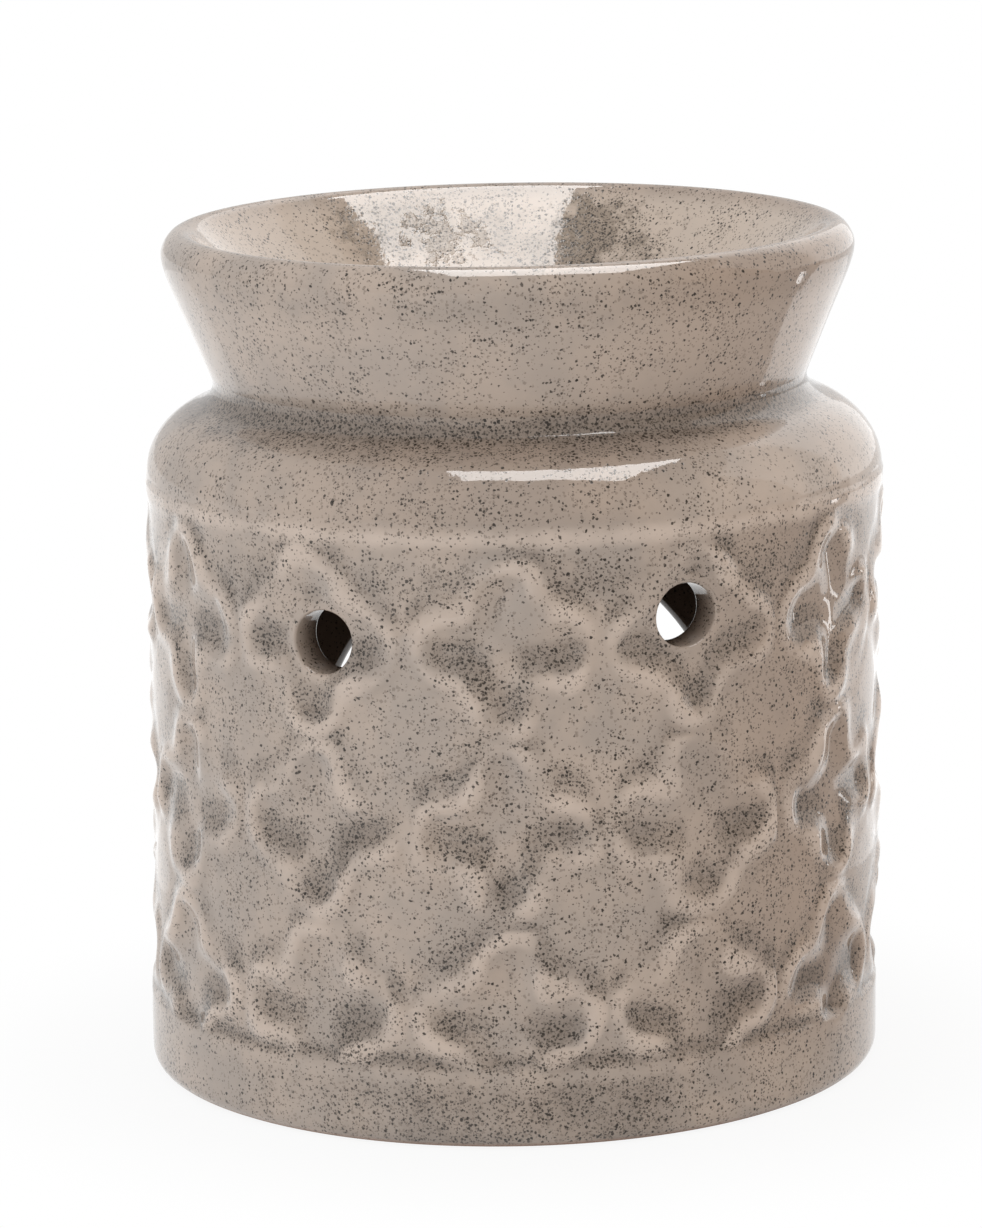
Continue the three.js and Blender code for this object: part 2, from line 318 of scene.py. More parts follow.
# From the axis under the foot, up the outside and over the lip, down into the dish.
def bodyProfile():
    c = ceramic
    lipFoot = c["rimHeight"] - c["lipHeight"]
    coneSlope = (c["rimRadius"] - c["neckRadius"]) / (lipFoot - c["neckHeight"])
    inner = c["footRadius"] - c["footRing"]
    halfLip = c["lipThickness"] / 2
    lipCentre = (c["rimRadius"] - halfLip, lipFoot)
    start, end = math.radians(c["lipStart"]), math.radians(c["lipTurn"])
    lip = arc(lipCentre, halfLip, c["lipHeight"], start, end, 18)
    lean = -halfLip * math.tan(start) / c["lipHeight"]
    climb = (lip[0][0] - c["rimRadius"] - coneSlope * (lip[0][1] - lipFoot)) / (coneSlope - lean)
    coneTop = np.array((lip[0][0] + lean * climb, lip[0][1] + climb))
    coneEnd = coneTop - c["lipFillet"] * np.array((coneSlope, 1))
    lipSlope = -halfLip * math.tan(end) / c["lipHeight"]
    bowlCorner = (lip[-1][0] - lipSlope * (lip[-1][1] - c["dishFloor"]), c["dishFloor"])
    wide, tall = c["shoulderRadius"] - c["neckRadius"], c["neckHeight"] - c["shoulderStart"]
    shoulderEnd = math.radians(c["shoulderTurn"])
    shoulder = arc((c["neckRadius"], c["shoulderStart"]), wide, tall, 0, shoulderEnd, 18)
    fall = -tall / wide / math.tan(shoulderEnd)
    above = shoulder[-1][1] + fall * (c["neckRadius"] - shoulder[-1][0]) - c["neckHeight"]
    rise = above / (1 - fall * coneSlope)
    neckCorner = np.array((c["neckRadius"] + coneSlope * rise, c["neckHeight"] + rise))
    coneFoot = neckCorner + c["neckFillet"] * np.array((coneSlope, 1))
    band = np.array([(c["bandRadius"], c["footRounding"] + 0.8), (c["bandRadius"], c["bandTop"])])
    wall = np.array([(c["wallRadius"], c["bandTop"] + 0.3), (c["wallRadius"], c["shoulderStart"] - 0.4)])
    lines = [
        fill(np.array([(onAxis, c["footRecess"]), (inner - 1.2, c["footRecess"])]), 6.0),
        bend((inner - 0.6, c["footRecess"]), (inner, c["footRecess"]), (inner + 0.3, 0.6), 3),
        bend((inner + 0.5, 0.2), (inner + 0.6, 0), (inner + 1.2, 0), 2),
        bend((c["footRadius"], 0), (c["bandRadius"], 0), (c["bandRadius"], c["footRounding"]), 8),
        fill(band, 0.9),
        fill(wall, 0.5),
        shoulder,
        bend(shoulder[-1], neckCorner, coneFoot, 12)[1:],
        fill(np.array([coneFoot, coneEnd]), 1.4)[1:-1],
        bend(coneEnd, coneTop, lip[0], 8)[:-1],
        lip,
        bend(lip[-1], bowlCorner, (c["dishFloorRadius"], c["dishFloor"]), 26)[1:],
        fill(np.array([(c["dishFloorRadius"] - 2, c["dishFloor"]), (onAxis, c["dishFloor"])]), 3.0),
    ]
    return np.concatenate(lines)


def shapeBody(radius, height, turn):
    skinStart, skinEnd = ceramic["neckRadius"] - 1, ceramic["neckRadius"] + 4
    outside = ease(skinStart, skinEnd, radius)
    outside = outside * ease(ceramic["footRounding"], ceramic["footRounding"] + 4, height)
    onWall = np.isclose(radius, ceramic["wallRadius"])
    step = ease(ceramic["bandTop"] + ceramic["ledge"], ceramic["bandTop"], height)
    step = np.maximum(step, ease(relief["topRidge"] - 0.5, relief["topRidge"] + 1.2, height))
    bead = relief["beadRise"] * hump(height - relief["topRidge"], relief["beadWidth"])
    plainRise = (ceramic["bandRadius"] - ceramic["wallRadius"]) * step
    carved = carving(turn, height) * carvedShare(height) + plainRise + bead * (1 - step)
    radius = radius + np.where(onWall, carved, 0)
    skin = ease(skinStart, skinEnd, radius)
    return radius + outside * handWobble(turn, height) + skin * handLean(turn, height), height


def chamberProfile():
    c = ceramic
    inside = c["wallRadius"] - c["wallThickness"]
    floor, ceiling = c["chamberFloor"], c["dishFloor"] - c["dishThickness"]
    start = ceiling - c["chamberShoulder"]
    corner = c["chamberCorner"]
    return np.concatenate([
        fill(np.array([(onAxis, floor), (inside - corner, floor)]), 8.0),
        bend((inside - corner, floor), (inside, floor), (inside, floor + corner), 6)[1:],
        fill(np.array([(inside, floor + corner), (inside, start)]), 4.0)[1:],
        bend((inside, start), (inside, ceiling), (inside - c["chamberCurve"], ceiling), 12)[1:],
        fill(np.array([(inside - c["chamberCurve"], ceiling), (onAxis, ceiling)]), 8.0)[1:],
    ])


# A cutter through the wall whose ends flare, so that the cut edge is rounded as sponged clay is.
def wallCutter(name, outline, outward, turn, rounding, innerFlare, outerRadius):
    innerRadius = ceramic["wallRadius"] - ceramic["wallThickness"]
    swing = np.linspace(0, math.pi / 2, 7)
    curve = [(rounding * (1 - math.sin(s)), rounding * (1 - math.cos(s))) for s in swing]
    levels = [(spread, outerRadius, -depth, True) for spread, depth in curve]
    levels += [(spread, innerRadius, depth, False) for spread, depth in curve[::-1]]
    rings = []
    for spread, wall, depth, outer in levels:
        flare = spread if outer else spread * innerFlare[:, None]
        spot = outline + outward * flare
        across = np.clip(spot[:, 0], -wall * 0.95, wall * 0.95)
        reach = np.sqrt(wall * wall - across * across) + depth
        rings.append(np.stack([spot[:, 0], -reach, spot[:, 1]], axis=1))
    upright = np.array([1, 0, 1])
    outerEnd = rings[0] * upright - np.array([0, outerRadius + 6, 0])
    innerEnd = rings[-1] * upright - np.array([0, innerRadius / 2, 0])
    rings = [outerEnd, *rings, innerEnd]
    count = len(outline)
    faces = turnedFaces(len(rings), count, False)
    faces += [tuple(range(count))[::-1], tuple(range((len(rings) - 1) * count, len(rings) * count))]
    piece = makeMesh(name, np.concatenate(rings), faces)
    piece.data.transform(Matrix.Rotation(turn, 4, "Z"))
    return piece


def ventCutter(number, turn, height):
    a = np.linspace(0, 2 * math.pi, 48, endpoint=False)
    outward = np.stack([np.cos(a), np.sin(a)], axis=1)
    uneven = 1 + 0.02 * np.sin(2 * a + number) + 0.012 * np.sin(3 * a + 2 * number)
    radius = ceramic["ventRadius"] * uneven
    outline = outward * radius[:, None] + np.array([0, height])
    edge, wall = ceramic["ventEdge"], ceramic["wallRadius"]
    even = np.ones(len(a))
    return wallCutter(f"ventCutter{number}", outline, outward, math.radians(turn), edge, even, wall)


def doorwayOutline():
    c = ceramic
    archPoints, legPoints, sillPoints = 73, 19, 38
    a = np.linspace(0, math.pi, archPoints)
    arch = np.stack([np.cos(a), np.sin(a)], axis=1)
    legHeights = np.linspace(c["chamberFloor"], c["doorwayCentre"], legPoints + 1)[:-1]
    right = np.stack([np.full(legPoints, c["doorwayRadius"]), legHeights], axis=1)
    left = right[::-1] * np.array([-1, 1])
    sill = np.linspace(-c["doorwayRadius"], c["doorwayRadius"], sillPoints + 2)[1:-1]
    sill = np.stack([sill, np.full(sillPoints, c["chamberFloor"])], axis=1)
    over = arch * c["doorwayRadius"] + np.array([0, c["doorwayCentre"]])
    outline = np.concatenate([right, over, left, sill])
    rightward, leftward = (np.tile(way, (legPoints, 1)) for way in ((1.0, 0.0), (-1.0, 0.0)))
    outward = np.concatenate([rightward, arch, leftward, np.tile((0.0, -1.0), (sillPoints, 1))])
    innerFlare = np.concatenate([np.ones(archPoints + 2 * legPoints), np.zeros(sillPoints)])
    return outline, outward, innerFlare


def cutAway(piece, cutters):
    for cutter in cutters:
        cut = piece.modifiers.new(cutter.name, "BOOLEAN")
        cut.operation = "DIFFERENCE"
        cut.solver = "EXACT"
        cut.object = cutter
    applied = piece.evaluated_get(bpy.context.evaluated_depsgraph_get())
    mesh = bpy.data.meshes.new_from_object(applied)
    piece.modifiers.clear()
    piece.data = mesh
    for cutter in cutters:
        bpy.data.objects.remove(cutter)


glaze = {
    "body": ((0.42, 0.347, 0.297), (0.51, 0.408, 0.338)), "pooledAndShaded": (0.192, 0.152, 0.123),
    "broken": (0.7, 0.568, 0.48), "shaded": (0.096, 0.061, 0.04), "dish": (0.64, 0.525, 0.435),
    "warmShade": (0.335, 0.238, 0.178), "stain": (0.17, 0.125, 0.085),
    "speck": (0.03, 0.021, 0.014), "faintSpeck": (0.145, 0.108, 0.08),
    "clay": ((0.24, 0.125, 0.075), (0.36, 0.2, 0.125)),
    "runs": (1.5, 2.5, 3.5, 4.5), "runDepth": 0.3, "hollowPoolShade": 0.2, "beadPoolShade": 0.6,
    "ledgePoolShade": 0.95, "basePoolShade": 0.7, "shoulderPoolShade": 0.65,
    "creasePoolShade": 1.4, "creaseAt": (1.6, 1.1), "creaseWidth": 2.6,
    "ridgeThin": (0.15, 0.85), "beadThin": 0.95, "rimThin": 0.35, "doorwayThin": 0.8,
    "coneWarmShade": (2, 34), "wallWarmShade": (13, 42), "topWarmShade": 0.5,
    "shares": {"warmShade": 0.6, "inDish": 0.7, "stain": 0.6, "pale": 0.22, "poolAndShade": 0.66, "thin": 0.68,
               "inside": 0.85, "faintSpeck": 0.5, "fineSpeck": 0.85},
    "speckScales": (1800, 2100, 3200), "refraction": 1.58,
    "stainAt": ((9.5, 4.0, 0.8), (20.0, 13.0, 0.4), (-22.5, 6.0, 0.42)), "crustAt": (-9.5, 35.0, 4.5),
}


# On the wall the glaze is dammed by ridges as it runs down, and it breaks thin over their tops. Where it
# pools, its darker colour is also painted shade: in the sunk hollows, under the bead, along the ledge and
# on the base band.
def wallGlaze(x, z, turn, outer):
    c, g = ceramic, glaze
    onWall = outer * carvedShare(z)
    raised = carving(turn, z)
    dammed = sum(np.clip(carving(turn, z - run) - raised, 0, 1) for run in g["runs"]) / len(g["runs"])
    # painted shade as well as glaze that pools: the sunk insides of the crosses and the ground above ridges
    # are darkened
    hollow = g["hollowPoolShade"] * ease(-0.15, -0.5, raised)
    poolAndShade = onWall * (1 - np.exp(-dammed / g["runDepth"] - hollow))
    # painted shade, partly glaze that pools: the band just under the top bead is darkened
    underBead = hump(z - relief["topRidge"] + 5.5, 3.5)
    underBead = underBead * ease(0.5, 3.5, crossDistance(*motifPlace(turn, z)))
    poolAndShade = np.maximum(poolAndShade, g["beadPoolShade"] * onWall * underBead)
    # painted shade: the recess just above the base band is darkened
    poolAndShade = np.maximum(poolAndShade, g["ledgePoolShade"] * outer * hump(z - c["bandTop"] - 1.4, 1.3))
    # painted shade: the base band is darkened, most towards the middle front and back
    middle = 1 - 0.65 * ease(10, 36, np.abs(x))
    onBase = outer * (1 - ease(c["bandTop"] - 2.5, c["bandTop"], z))
    poolAndShade = np.maximum(poolAndShade, g["basePoolShade"] * middle * onBase)
    thin = onWall * ease(*g["ridgeThin"], raised)
    onBead = outer * hump(z - relief["topRidge"], relief["beadWidth"])
    return poolAndShade, np.maximum(thin, g["beadThin"] * onBead)


def dishGlaze(radius, z):
    c = ceramic
    slope = (c["rimRadius"] - c["neckRadius"]) / (c["rimHeight"] - c["lipHeight"] - c["neckHeight"])
    coneRadius = c["neckRadius"] + slope * (z - c["neckHeight"])
    inDish = ease(c["dishFloor"] - 1, c["dishFloor"], z) * (radius < coneRadius - 2)
    return inDish * ease(c["rimRadius"] - 3.6, c["rimRadius"] - 6.5, radius)


# How thick the glaze lies at each point: gathered in hollows, thin over ridges and edges, none on the foot.
# The darker gathered colour is partly painted shade, and other layers paint shade on the right and inside
# the wall and light on the shoulder top and in the dish.
def paintGlaze(piece):
    c, g = ceramic, glaze
    mesh = piece.data
    points = np.empty(len(mesh.vertices) * 3)
    mesh.vertices.foreach_get("co", points)
    x, y, z = points.reshape(-1, 3).T / mm
    radius, turn, aboveNeck = np.hypot(x, y), np.arctan2(x, -y), z - c["neckHeight"]
    outer = ease(c["wallRadius"] - 3.0, c["wallRadius"] - 1.8, radius)
    poolAndShade, thin = wallGlaze(x, z, turn, outer)
    # Painted shade, partly glaze that pools: the neck crease and the shoulder just under the dish's
    # overhang are darkened.
    crease = np.hypot(radius - c["neckRadius"] - g["creaseAt"][0], aboveNeck - g["creaseAt"][1])
    underNeck = ease(-3.5, -0.6, aboveNeck) * (aboveNeck < 1) * (1 - ease(10, 36, x))
    poolAndShade = np.maximum(poolAndShade, g["creasePoolShade"] * hump(crease, g["creaseWidth"]))
    poolAndShade = np.maximum(poolAndShade, g["shoulderPoolShade"] * underNeck)
    doorwayTop = c["doorwayCentre"] + c["doorwayRadius"]
    gap = np.where((y > 0) & (z < doorwayTop + 4), doorwayGap(x, z), farAway)
    thin = np.maximum(thin, g["doorwayThin"] * outer * hump(gap - 0.4, 0.9))
    thin = np.maximum(thin, g["rimThin"] * hump(z - c["rimHeight"], 1.3))
    inDish = dishGlaze(radius, z)
    bare = (1 - ease(0.35, 0.9, z)) * (radius > c["footRadius"] - c["footRing"] - 1)
    # Painted shade: surfaces inside the wall, in the chamber and on the cut walls of the doorway and vents,
    # take the dark shaded colour.
    inside = ease(c["wallRadius"] - 0.5, c["wallRadius"] - 1.6, radius) * (z > 4) * (z < c["shoulderStart"])
    onTop = ease(c["shoulderStart"] - 2, c["shoulderStart"] + 2, z) * (1 - ease(0, 2, aboveNeck))
    # Painted shade: the right side of the wall and cone and the middle of the shoulder top are darkened and
    # warmed, as where less light falls.
    warmShade = np.where(aboveNeck > 0, ease(*g["coneWarmShade"], x), ease(*g["wallWarmShade"], x))
    warmShade = warmShade * (1 - np.maximum(onTop, inDish)) * ease(3, 16, z)
    warmShade = np.maximum(warmShade, g["topWarmShade"] * onTop * ease(-40, -5, x) * (1 - ease(12, 34, x)))
    pale = ease(3, 7, aboveNeck) * ease(c["neckRadius"], c["neckRadius"] + 2, radius)
    pale = pale * (1 - ease(c["rimHeight"] - 9, c["rimHeight"] - 5, z))
    # Painted light: the right of the shoulder top is made paler, as if lit from the upper right.
    pale = np.maximum(pale, onTop * ease(14, 36, x))
    stain = sum(share * hump(x - across, width) for across, width, share in g["stainAt"])
    stain = stain * ease(20, 30, y) * inDish
    across, back, width = g["crustAt"]
    crust = hump(np.hypot((x - across) * 0.6, y - back), width) * inDish
    layers = {"poolAndShade": poolAndShade, "thin": thin, "bare": bare, "inDish": inDish, "inside": inside,
              "warmShade": warmShade, "stain": stain, "crust": crust, "pale": pale}
    for name, values in layers.items():
        layer = mesh.attributes.new(name, "FLOAT", "POINT")
        layer.data.foreach_set("value", values.astype(np.float32))
    return tuple(layers)


def glazeMaterial(names):
    material, wires, coords = startMaterial("speckledGlaze")
    layer = {name: wires.node("Attribute", {"attribute_name": name}, {}, "Fac") for name in names}
    share = glaze["shares"]
    cloud = wires.noise(coords, 90, 4, 0.6)
    patch = wires.noise(coords, 110, 3, 0.6)
    edge = wires.noise(coords, 420, 3, 0.6)
    poolAndShade = (layer["poolAndShade"] + (patch - 0.5) * 1.2 + (edge - 0.5) * 0.6).ramp(0.05, 1.3)
    poolAndShade = poolAndShade * layer["poolAndShade"].ramp(0, 0.3)
    thin = (layer["thin"] + (patch - 0.5) * 1.5 + (edge - 0.5) * 0.5).ramp(0.15, 1.3)
    thin = thin * layer["thin"].ramp(0, 0.5)
    colour = cloud.ramp(0.35, 0.65).mix(*glaze["body"])
    # painted shade: a darker, warmer colour on the right side and on the shoulder top
    colour = (layer["warmShade"] * share["warmShade"]).mix(colour, glaze["warmShade"])
    # Painted light: the inside of the dish is painted lighter, for the light that falls into it from above.
    colour = (layer["inDish"] * share["inDish"]).mix(colour, glaze["dish"])
    stain = layer["inDish"] * wires.noise(coords, 45, 4, 0.6).ramp(0.5, 0.68) * 0.7
    stain = stain + (layer["stain"] + (edge - 0.5) * 2.0).ramp(0.3, 1.0) * layer["stain"].ramp(0, 0.3)
    wrinkle = wires.noise(coords, 330, 4, 0.7)
    crust = (layer["crust"] + (wrinkle - 0.5) * 3.6).ramp(0.6, 0.9) * layer["crust"].ramp(0, 0.25)
    colour = ((stain + crust * 0.35).ramp(0, 1) * share["stain"]).mix(colour, glaze["stain"])
    # a paler cone, and painted light on the right of the shoulder top
    colour = (layer["pale"] * share["pale"]).mix(colour, glaze["broken"])
    # glaze that pools, darkened further as painted shade in hollows and creases
    colour = (poolAndShade * share["poolAndShade"]).mix(colour, glaze["pooledAndShaded"])
    colour = (thin * share["thin"]).mix(colour, glaze["broken"])
    colour = (layer["inside"] * share["inside"]).mix(colour, glaze["shaded"])
    ripple = wires.node("TexNoise", {}, {"Vector": coords, "Scale": 3200.0, "Detail": 1.0}, "Color")
    ripple = wires.node("VectorMath", {"operation": "SCALE"}, {0: ripple, "Scale": 0.0004})
    uneven = wires.node("VectorMath", {"operation": "ADD"}, {0: coords, 1: ripple})
    clump = wires.noise(coords, 130, 3, 0.6).ramp(0.35, 0.68)
    crowd = 0.1 + clump * 0.3 + poolAndShade * 0.8 + stain * 0.75
    crowd = crowd + layer["warmShade"] * 0.08 - thin * 0.03 - layer["pale"] * 0.05
    large, medium, small = glaze["speckScales"]
    faint = speckMask(wires, uneven, large, crowd + 0.06)
    specks = speckMask(wires, uneven, medium, crowd * 0.95)
    fine = speckMask(wires, uneven, small, crowd * 0.7 + 0.06)
    colour = (faint * share["faintSpeck"]).mix(colour, glaze["faintSpeck"])
    colour = (fine * share["fineSpeck"]).mix(colour, glaze["speck"])
    colour = specks.mix(colour, glaze["speck"])
    clay = wires.noise(coords, 1500, 3).mix(*glaze["clay"])
    colour = layer["bare"].mix(colour, clay)
    rough = 0.02 + wires.noise(coords, 260, 2) * 0.04 + specks * 0.1 + layer["bare"] * 0.6
    rough = rough + layer["inDish"] * edge.ramp(0.5, 0.75) * 0.16 + crust * 0.3
    swell = wires.noise(coords, 160, 2) * 0.6 + wires.noise(coords, 650, 2) * 0.16 - specks * 0.06
    swell = swell + layer["inDish"] * patch * 0.5 + crust * wires.noise(coords, 900, 3) * 2.0
    normal = wires.node("Bump", {}, {"Strength": 0.25, "Distance": 0.0004, "Height": swell})
    closeMaterial(wires, {"Base Color": colour, "Roughness": rough, "Normal": normal,
                          "IOR": glaze["refraction"]})
    return material


def speckMask(wires, coords, scale, crowd):             # crowd is the share of cells that hold a speck
    cell = {"Vector": coords, "Scale": scale, "Randomness": 1.0}
    gap = wires.node("TexVoronoi", {"feature": "F1"}, cell, "Distance")
    dice = wires.node("SeparateColor", {}, {0: gap.other("Color")}, 0)
    shade = dice.other(1)
    present = dice.ramp(0.98 - crowd, 1.02 - crowd)
    return (1 - (gap / (0.3 + shade * 0.2)).ramp(0.7, 1.1)) * present * (0.6 + 0.4 * shade)


def buildBody():
    blank = turnedPiece("burnerCeramic", bodyProfile(), ceramic["sides"], False, shapeBody)
    closeEnds(blank)
    chamber = turnedPiece("chamberCutter", chamberProfile(), ceramic["chamberSides"], False)
    closeEnds(chamber)
    outline, outward, innerFlare = doorwayOutline()
    edge, band = ceramic["doorwayEdge"], ceramic["bandRadius"]
    doorway = wallCutter("doorwayCutter", outline, outward, math.pi, edge, innerFlare, band)
    vents = [ventCutter(n, turn, height) for n, (turn, height) in enumerate(ceramic["vents"])]
    cutAway(blank, [chamber, doorway, *vents])
    blank.data.shade_smooth()
    blank.data.set_sharp_from_angle(angle=math.radians(ceramic["sharpAngle"]))
    layers = paintGlaze(blank)
    settle(blank, glazeMaterial(layers), "burner", "burner_body")


buildBody()


# Tealight cup, drawn from foil: pleated wall, rolled rim and a ring pressed into its floor
foil = {
    "floor": 6.8, "inFloor": 7.15, "foot": 18.6, "wall": 18.95, "inStep": 0.22,
    "rimAt": (19.2, 21.8), "rim": 0.5, "pleats": 72, "pleatDepth": 0.1,
    "ring": (11.4, 13.8), "ringRise": 0.25, "sides": 432, "sharpAngle": 50,
    "bright": (0.86, 0.865, 0.875), "dull": (0.72, 0.725, 0.735),
}


def foilRing(lift):
    low, high = foil["ring"]
    rise = foil["ringRise"]
    return [(low, lift), (low + 0.4, lift + rise), (high - 0.4, lift + rise), (high, lift)]


def cupProfile():
    f = foil
    wallTop = f["rimAt"][1] - 0.5
    outside = [(onAxis, f["floor"]), *foilRing(f["floor"]), (f["foot"] - 1.0, f["floor"])]
    foot = bend((f["foot"] - 1.0, f["floor"]), (f["foot"], f["floor"]), (f["foot"], f["floor"] + 1.0), 5)
    wall = fill(np.array([(f["foot"], f["floor"] + 1.0), (f["wall"], wallTop)]), 0.8)
    rim = arc(f["rimAt"], f["rim"], f["rim"], -math.pi / 2, math.pi, 16)
    inWall = wall[::-1] - np.array([f["inStep"], 0])
    inFoot = bend(inWall[-1], (inWall[-1][0], f["inFloor"]), (inWall[-1][0] - 0.7, f["inFloor"]), 5)
    inFloor = [(f["foot"] - 1.4, f["inFloor"]), *foilRing(f["inFloor"])[::-1], (onAxis, f["inFloor"])]
    return np.concatenate([outside, foot[1:], wall[1:], rim, inWall[1:], inFoot[1:], inFloor])


def pleat(radius, height, turn):
    onWall = ease(foil["floor"] + 0.8, foil["floor"] + 3, height) * (radius > foil["foot"] - 1)
    onWall = onWall * ease(foil["rimAt"][1] - 0.6, foil["rimAt"][1] - 2.4, height)
    return radius + foil["pleatDepth"] * onWall * np.sin(foil["pleats"] * turn), height


def foilMaterial():
    material, wires, coords = startMaterial("cupFoil")
    drawn = wires.node("Mapping", {}, {"Vector": coords, "Scale": (1.0, 1.0, 0.06)})
    lines = wires.noise(drawn, 2600, 2)
    smears = wires.noise(coords, 240, 3)
    colour = (smears.ramp(0.35, 0.75) * 0.7 + lines * 0.3).mix(foil["bright"], foil["dull"])
    rough = 0.2 + smears * 0.14 + lines * 0.08
    normal = wires.node("Bump", {}, {"Strength": 0.2, "Distance": 0.0001, "Height": lines + smears * 2})
    closeMaterial(wires, {"Base Color": colour, "Roughness": rough, "Normal": normal, "Metallic": 1.0})
    return material


def buildCup():
    cup = turnedPiece("foilCup", cupProfile(), foil["sides"], False, pleat)
    closeEnds(cup)
    cup.data.set_sharp_from_angle(angle=math.radians(foil["sharpAngle"]))
    settle(cup, foilMaterial(), "tealight", "tealight_cup")


buildCup()


# Candle: poured wax that climbs a little at the cup and at the wick, a tin sustainer and a braided wick
candle = {
    "floor": 7.5, "top": 18.8, "radius": 18.3, "climb": 0.5, "wickHole": 0.8, "wickClimb": 0.55,
    "plateHole": 6.75, "plateTop": 8.15, "collarHole": 1.65, "collarTop": 11.15,
    "swell": 0.05, "swellWaves": (5, 0.5), "sides": 144, "sharpAngle": 50, "seed": 21,
    "cool": (0.86, 0.85, 0.81), "warm": (0.9, 0.87, 0.79),
}


def waxProfile():
    k = candle
    edge = k["radius"]
    return np.concatenate([
        fill(np.array([(k["plateHole"], k["floor"]), (edge - 0.4, k["floor"])]), 3.0),
        bend((edge - 0.4, k["floor"]), (edge, k["floor"]), (edge, k["floor"] + 0.4), 3)[1:],
        fill(np.array([(edge, k["floor"] + 0.4), (edge, k["top"] + k["climb"])]), 2.0)[1:],
        bend((edge - 0.12, k["top"] + k["climb"]), (edge - 0.6, k["top"]), (edge - 2.2, k["top"]), 6),
        fill(np.array([(edge - 2.2, k["top"]), (3.0, k["top"])]), 0.9)[1:],
        bend((3.0, k["top"]), (1.1, k["top"]), (k["wickHole"], k["top"] + k["wickClimb"]), 8)[1:],
        [(k["wickHole"], k["collarTop"]), (k["collarHole"], k["collarTop"] - 0.2)],
        [(k["collarHole"], k["plateTop"]), (k["plateHole"], k["plateTop"])],
    ])


def pourWax(radius, height, turn):
    onTop = ease(candle["top"] - 0.2, candle["top"], height) * ease(2, 5, radius)
    waves = slowWaves(turn, radius, candle["seed"], *candle["swellWaves"])
    return radius, height + candle["swell"] * onTop * waves


# Both waxes let light in a little way.
waxFinish = {
    "fleck": (0.42, 0.28, 0.14),
    "depth": {"Subsurface Weight": 0.35, "Subsurface Radius": (1.0, 0.8, 0.6), "Subsurface Scale": 0.0018},
}


def waxMaterial(name, first, second, flecks):
    material, wires, coords = startMaterial(name)
    cloud = wires.noise(coords, 180, 4)
    colour = cloud.ramp(0.3, 0.7).mix(first, second)
    dots = speckMask(wires, coords, 700, wires.noise(coords, 90, 2) * 0.2)
    colour = (dots * flecks).mix(colour, waxFinish["fleck"])
    rough = 0.36 + wires.noise(coords, 420, 3) * 0.18
    swell = wires.noise(coords, 320, 3) + wires.noise(coords, 2200, 2) * 0.1
    normal = wires.node("Bump", {}, {"Strength": 0.3, "Distance": 0.0002, "Height": swell})
    sockets = {"Base Color": colour, "Roughness": rough, "Normal": normal}
    closeMaterial(wires, sockets | waxFinish["depth"])
    return material


def buildWax():
    wax = turnedPiece("pouredWax", waxProfile(), candle["sides"], True, pourWax)
    wax.data.set_sharp_from_angle(angle=math.radians(candle["sharpAngle"]))
    material = waxMaterial("paraffinWax", candle["cool"], candle["warm"], 0.0)
    settle(wax, material, "candle", "candle_wax")


tin = {
    "floor": 7.5, "plate": 6.5, "thickness": 0.3, "bore": 1.0, "collar": 1.32, "collarTop": 10.85,
    "edge": 0.15, "fillet": 0.5, "ring": (5.2, 4.9, 4.4, 4.1), "ringRise": 0.1,
    "crimps": 4, "crimpDepth": 0.14, "crimpAt": 9.7, "crimpWidth": 0.6, "sides": 96, "sharpAngle": 40,
    "light": (0.66, 0.66, 0.655), "dark": (0.46, 0.46, 0.46),
}


def tinProfile():
    t = tin
    top = t["floor"] + t["thickness"]
    edge, fillet = t["edge"], t["fillet"]
    ring = [(radius, top + rise) for radius, rise in zip(t["ring"], (0, t["ringRise"], t["ringRise"], 0))]
    return np.concatenate([
        [(t["bore"], t["floor"]), (t["plate"] - edge, t["floor"])],
        arc((t["plate"] - edge, t["floor"] + edge), edge, edge, -math.pi / 2, math.pi / 2, 6)[1:],
        [*ring, (t["collar"] + fillet, top)],
        bend((t["collar"] + fillet, top), (t["collar"], top), (t["collar"], top + fillet), 4)[1:],
        fill(np.array([(t["collar"], top + fillet), (t["collar"], t["collarTop"])]), 0.25)[1:],
        fill(np.array([(t["bore"], t["collarTop"]), (t["bore"], t["floor"] + 0.2)]), 0.25),
    ])


def crimp(radius, height, turn):
    squeeze = hump(height - tin["crimpAt"], tin["crimpWidth"]) * (radius < 2)
    return radius - tin["crimpDepth"] * squeeze * (0.5 + 0.5 * np.cos(tin["crimps"] * turn)), height


def tinMaterial():
    material, wires, coords = startMaterial("dullTin")
    streak = wires.node("Mapping", {}, {"Vector": coords, "Scale": (1.0, 0.05, 1.0)})
    rolled = wires.noise(streak, 3200, 2)
    spots = wires.noise(coords, 900, 3)
    colour = (rolled * 0.6 + spots * 0.4).ramp(0.3, 0.7).mix(tin["dark"], tin["light"])
    rough = 0.3 + rolled * 0.2
    normal = wires.node("Bump", {}, {"Strength": 0.2, "Distance": 0.0001, "Height": rolled})
    closeMaterial(wires, {"Base Color": colour, "Roughness": rough, "Normal": normal, "Metallic": 1.0})
    return material


def buildSustainer():
    disc = turnedPiece("tinSustainer", tinProfile(), tin["sides"], True, crimp)
    disc.data.set_sharp_from_angle(angle=math.radians(tin["sharpAngle"]))
    settle(disc, tinMaterial(), "candle", "wick_sustainer")


cotton = {
    "foot": 7.5, "tip": 25.9, "core": 0.6, "strand": 0.12, "lay": 2.6,
    "leanFrom": 19.4, "lean": 0.9, "sides": 48, "pale": (0.84, 0.8, 0.72), "waxed": (0.7, 0.65, 0.56),
}


def braid(radius, height, turn):
    swing = 2 * math.pi * height / cotton["lay"]
    strands = np.maximum(np.abs(np.cos(1.5 * turn + swing)), np.abs(np.cos(1.5 * turn - swing)))
    full = radius > cotton["core"] / 2
    return radius + np.where(full, cotton["strand"] * strands, 0), height


